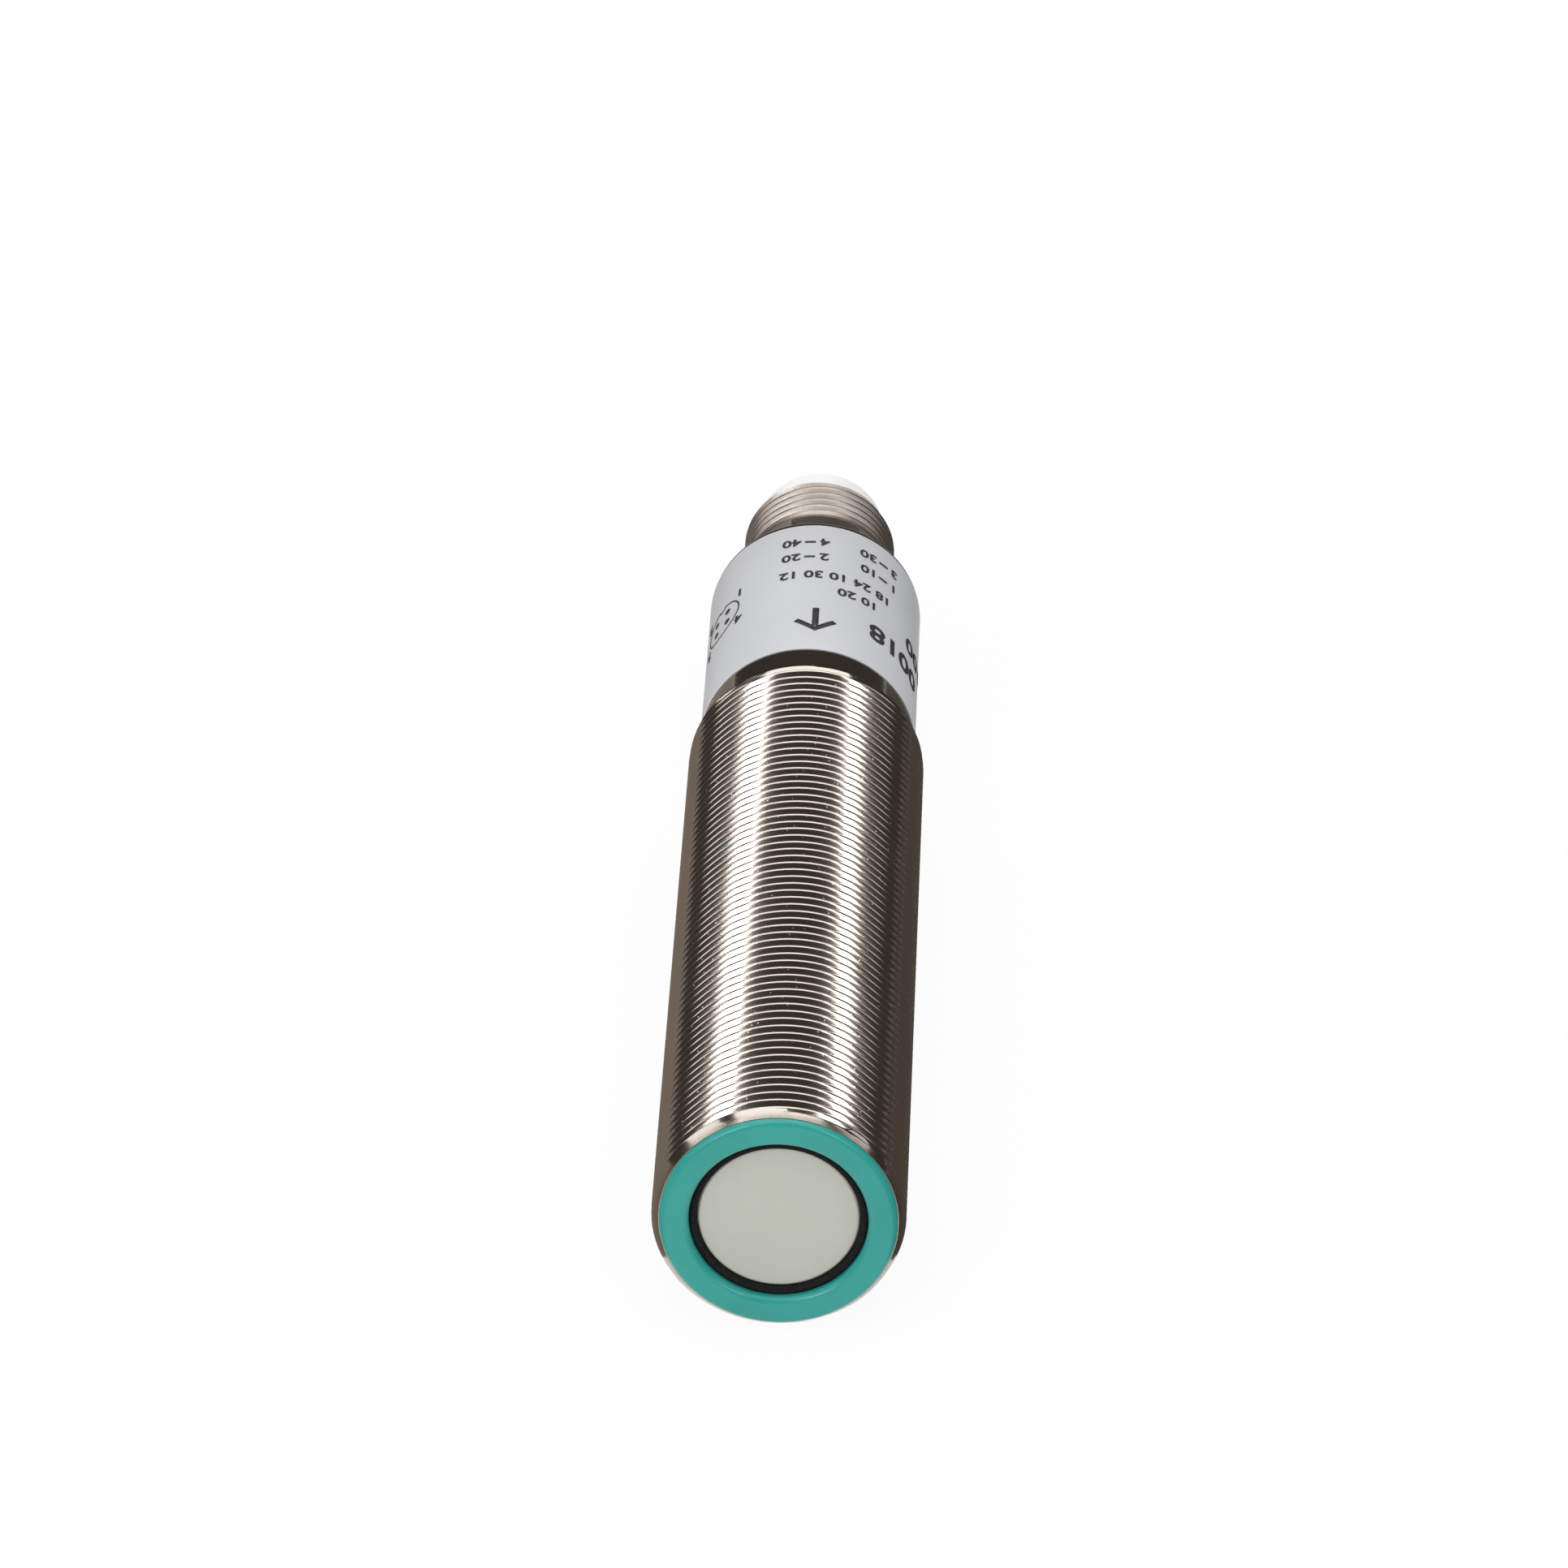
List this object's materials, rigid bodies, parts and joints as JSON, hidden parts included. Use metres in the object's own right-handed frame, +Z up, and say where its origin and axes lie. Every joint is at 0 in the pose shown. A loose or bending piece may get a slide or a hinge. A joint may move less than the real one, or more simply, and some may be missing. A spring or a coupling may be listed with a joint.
{
  "type": "proximity sensor",
  "caption": "Ultrasonic proximity sensor in a threaded M18 metal barrel, with a flat transducer face in a teal ring and an M12 plug connector with status windows.",
  "frame": {"origin": "on the sensor's axis, at the first crest of the M18 thread, behind the sensing face", "axes": "+Y along the axis from the sensing face to the connector, +Z up as the sensor lies with its label readable from above, +X to the right of someone who looks along +Y"},
  "size_m": [0.0178, 0.1041, 0.0178],
  "materials": {
    "nickel_bright": "polished",
    "teal_plastic": "satin",
    "black_foam": "matte",
    "matching_resin": "matte",
    "piezo_ceramic": "matte",
    "black_plastic": "matte",
    "grey_rubber": "matte",
    "tinned_copper": "satin",
    "black_resin": "satin",
    "sleeve_film": "satin",
    "green_board": "satin",
    "ferrite": "matte",
    "copper_winding": "satin",
    "chip_black": "matte",
    "can_metal": "satin",
    "tantalum_yellow": "matte",
    "chip_ceramic": "matte",
    "bead_resin": "satin",
    "led_yellow": "gloss",
    "led_green": "gloss",
    "nickel_matte": "satin",
    "black_rubber": "satin",
    "smoky_clear": "gloss",
    "white_plastic": "satin",
    "gold_plate": "polished",
    "label_film": "satin"
  },
  "bodies": {
    "root": {"threaded_barrel": "nickel_bright", "cover_ring": "teal_plastic", "foam_ring": "black_foam", "matching_layer": "matching_resin", "piezo_disc": "piezo_ceramic", "transducer_cup": "black_plastic", "damping_block": "grey_rubber", "isolation_pad": "black_foam", "transducer_leads": "tinned_copper", "front_potting": "black_resin", "insulating_sleeve": "sleeve_film", "circuit_board": "green_board", "transformer_core": "ferrite", "transformer_winding": "copper_winding", "amplifier_chip": "chip_black", "microcontroller": "chip_black", "crystal": "can_metal", "voltage_regulator": "chip_black", "driver_transistor": "chip_black", "tantalum_capacitors": "tantalum_yellow", "chip_passives": "chip_ceramic", "temperature_sensor": "bead_resin", "link_header": "black_plastic", "link_pins": "tinned_copper", "connector_board": "green_board", "rear_potting": "black_resin", "yellow_leds": "led_yellow", "green_leds": "led_green", "connector_shell": "nickel_matte", "shell_seal": "black_rubber", "light_ring": "smoky_clear", "contact_carrier": "white_plastic", "contact_pins": "gold_plate", "label": "label_film"}
  },
  "joints": []
}
